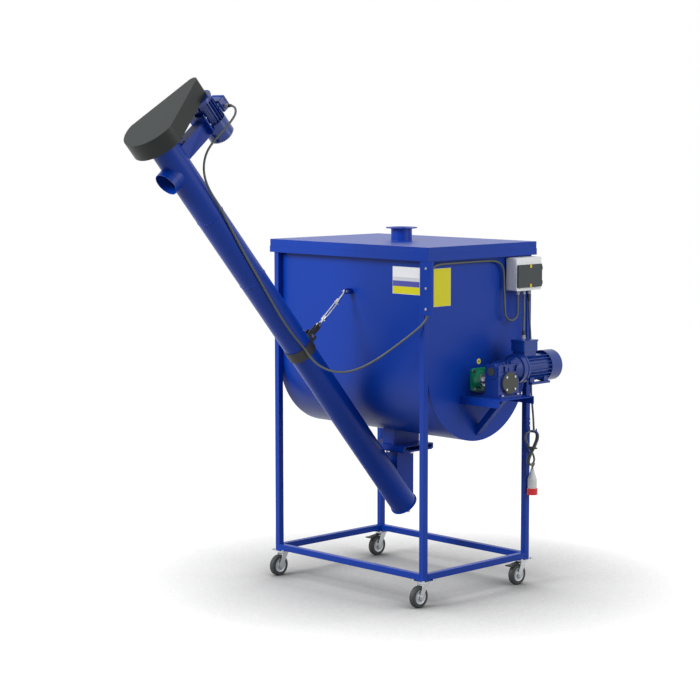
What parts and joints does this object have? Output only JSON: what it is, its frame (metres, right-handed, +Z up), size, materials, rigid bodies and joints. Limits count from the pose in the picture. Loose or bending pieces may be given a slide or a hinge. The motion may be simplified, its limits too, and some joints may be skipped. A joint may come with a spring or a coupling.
{
  "type": "ribbon blender",
  "caption": "Mobile ribbon blender: U-shaped trough on a square-tube frame with castors, geared drive, hinged lid with feed neck and an inclined belt-driven discharge auger.",
  "frame": {"origin": "centre of the bounding box at floor level, without the cords", "axes": "+Z up, +X towards the geared drive end, -Y towards the auger outlet"},
  "size_m": [1.532, 2.3993, 2.8623],
  "materials": {
    "blue_paint": "gloss enamel",
    "steel": "brushed",
    "zinc": "zinc plated",
    "motor_blue": "satin enamel",
    "gear_blue": "satin enamel",
    "dark_cover": "matt",
    "green_iron": "green paint",
    "guard_paint": "dark olive enamel",
    "tyre": "matt",
    "rubber": "matt",
    "box_plastic": "textured",
    "smoked": "smoked",
    "yellow": "gloss",
    "label": "bare label",
    "gland": "matt",
    "black_plastic": "matt",
    "cable": "matt",
    "plug_grey": "matt",
    "plug_red": "gloss"
  },
  "bodies": {
    "machine": {"auger_cable": "cable", "auger_end_discs": "blue_paint", "auger_motor_body": "motor_blue", "auger_tube_lower": "blue_paint", "auger_tube_upper": "blue_paint", "base_rails": "blue_paint", "bearing_housings": "green_iron", "belt_guard": "guard_paint", "bolts": "zinc", "cable_duct": "blue_paint", "cable_glands": "gland", "castor_plates": "zinc", "control_box": "box_plastic", "corner_posts": "blue_paint", "drive_belt": "rubber", "drive_end_plate": "blue_paint", "drive_platform": "blue_paint", "gate_frame": "blue_paint", "gearbox_covers": "dark_cover", "gearbox_housing": "gear_blue", "hinge_leaves": "blue_paint", "idle_end_plate": "blue_paint", "label_plates": "label", "main_motor_body": "motor_blue", "mains_cable": "cable", "mains_hank": "cable", "mains_plug": "plug_grey", "motor_arm": "blue_paint", "motor_cable": "cable", "plug_ring": "plug_red", "terminal_boxes": "motor_blue", "trough_rim": "blue_paint", "trough_shell": "blue_paint", "tube_clamp": "rubber", "turnbuckle": "zinc", "wall_peg": "blue_paint"},
    "rotor": {"rotor_shaft": "steel", "outer_ribbons": "steel", "inner_ribbons": "steel", "ribbon_arms": "steel"},
    "lid": {"lid": "blue_paint", "inlet_neck": "steel"},
    "main_motor_rotor": {"main_motor_fan": "steel"},
    "gate": {"gate_blade": "steel", "gate_grip": "black_plastic"},
    "screw": {"auger_shaft": "steel", "auger_flight": "steel"},
    "auger_motor_rotor": {"auger_motor_shaft": "steel"},
    "window": {"control_window": "smoked", "window_catches": "yellow"},
    "fork_1": {"castor_fork_1": "zinc"},
    "wheel_1": {"castor_wheel_1": "tyre"},
    "fork_2": {"castor_fork_2": "zinc"},
    "wheel_2": {"castor_wheel_2": "tyre"},
    "fork_3": {"castor_fork_3": "zinc"},
    "wheel_3": {"castor_wheel_3": "tyre"},
    "fork_4": {"castor_fork_4": "zinc"},
    "wheel_4": {"castor_wheel_4": "tyre"},
    "pedal_2": {"brake_pedal_2": "black_plastic"},
    "pedal_4": {"brake_pedal_4": "black_plastic"}
  },
  "joints": [
    {"name": "rotor_spin", "type": "hinge", "parent": "machine", "child": "rotor", "pos_m": [-0.113, 0.7337, 1.22], "axis": [1, 0, 0], "continuous": true},
    {"name": "main_motor_spin", "type": "hinge", "parent": "machine", "child": "main_motor_rotor", "pos_m": [0.6585, 0.9337, 1.285], "axis": [0, 1, 0], "continuous": true},
    {"name": "lid_hinge", "type": "hinge", "parent": "machine", "child": "lid", "pos_m": [-0.113, 1.1907, 1.92915], "axis": [-1, 0, 0], "range_deg": [0, 95]},
    {"name": "gate_slide", "type": "slide", "parent": "machine", "child": "gate", "axis": [-1, 0, 0], "range_m": [0, 0.1]},
    {"name": "screw_spin", "type": "hinge", "parent": "machine", "child": "screw", "pos_m": [-0.113, 0.08691, 1.22967], "axis": [0, -0.6468, 0.7627], "continuous": true},
    {"name": "auger_motor_spin", "type": "hinge", "parent": "machine", "child": "auger_motor_rotor", "pos_m": [-0.113, -0.69093, 2.66791], "axis": [0, -0.6468, 0.7627], "continuous": true},
    {"name": "window_hinge", "type": "hinge", "parent": "machine", "child": "window", "pos_m": [0.577, 1.1587, 1.8], "axis": [0, 0, 1], "range_deg": [0, 110]},
    {"name": "castor_swivel_1", "type": "hinge", "parent": "machine", "child": "fork_1", "pos_m": [-0.681, 0.3277, 0.14], "axis": [0, 0, 1], "continuous": true},
    {"name": "castor_roll_1", "type": "hinge", "parent": "fork_1", "child": "wheel_1", "pos_m": [-0.681, 0.2917, 0.06], "axis": [1, 0, 0], "continuous": true},
    {"name": "castor_swivel_2", "type": "hinge", "parent": "machine", "child": "fork_2", "pos_m": [-0.681, 1.1397, 0.14], "axis": [0, 0, 1], "continuous": true},
    {"name": "castor_roll_2", "type": "hinge", "parent": "fork_2", "child": "wheel_2", "pos_m": [-0.681, 1.1037, 0.06], "axis": [1, 0, 0], "continuous": true},
    {"name": "brake_pedal_hinge_2", "type": "hinge", "parent": "fork_2", "child": "pedal_2", "pos_m": [-0.681, 1.1197, 0.127], "axis": [-1, 0, 0], "range_deg": [0, 12]},
    {"name": "castor_swivel_3", "type": "hinge", "parent": "machine", "child": "fork_3", "pos_m": [0.455, 0.3277, 0.14], "axis": [0, 0, 1], "continuous": true},
    {"name": "castor_roll_3", "type": "hinge", "parent": "fork_3", "child": "wheel_3", "pos_m": [0.455, 0.2917, 0.06], "axis": [1, 0, 0], "continuous": true},
    {"name": "castor_swivel_4", "type": "hinge", "parent": "machine", "child": "fork_4", "pos_m": [0.455, 1.1397, 0.14], "axis": [0, 0, 1], "continuous": true},
    {"name": "castor_roll_4", "type": "hinge", "parent": "fork_4", "child": "wheel_4", "pos_m": [0.455, 1.1037, 0.06], "axis": [1, 0, 0], "continuous": true},
    {"name": "brake_pedal_hinge_4", "type": "hinge", "parent": "fork_4", "child": "pedal_4", "pos_m": [0.455, 1.1197, 0.127], "axis": [-1, 0, 0], "range_deg": [0, 12]}
  ],
  "couplings": [
    {"joint": "main_motor_spin", "follows": "rotor_spin", "ratio": 40},
    {"joint": "auger_motor_spin", "follows": "screw_spin", "ratio": 4}
  ]
}
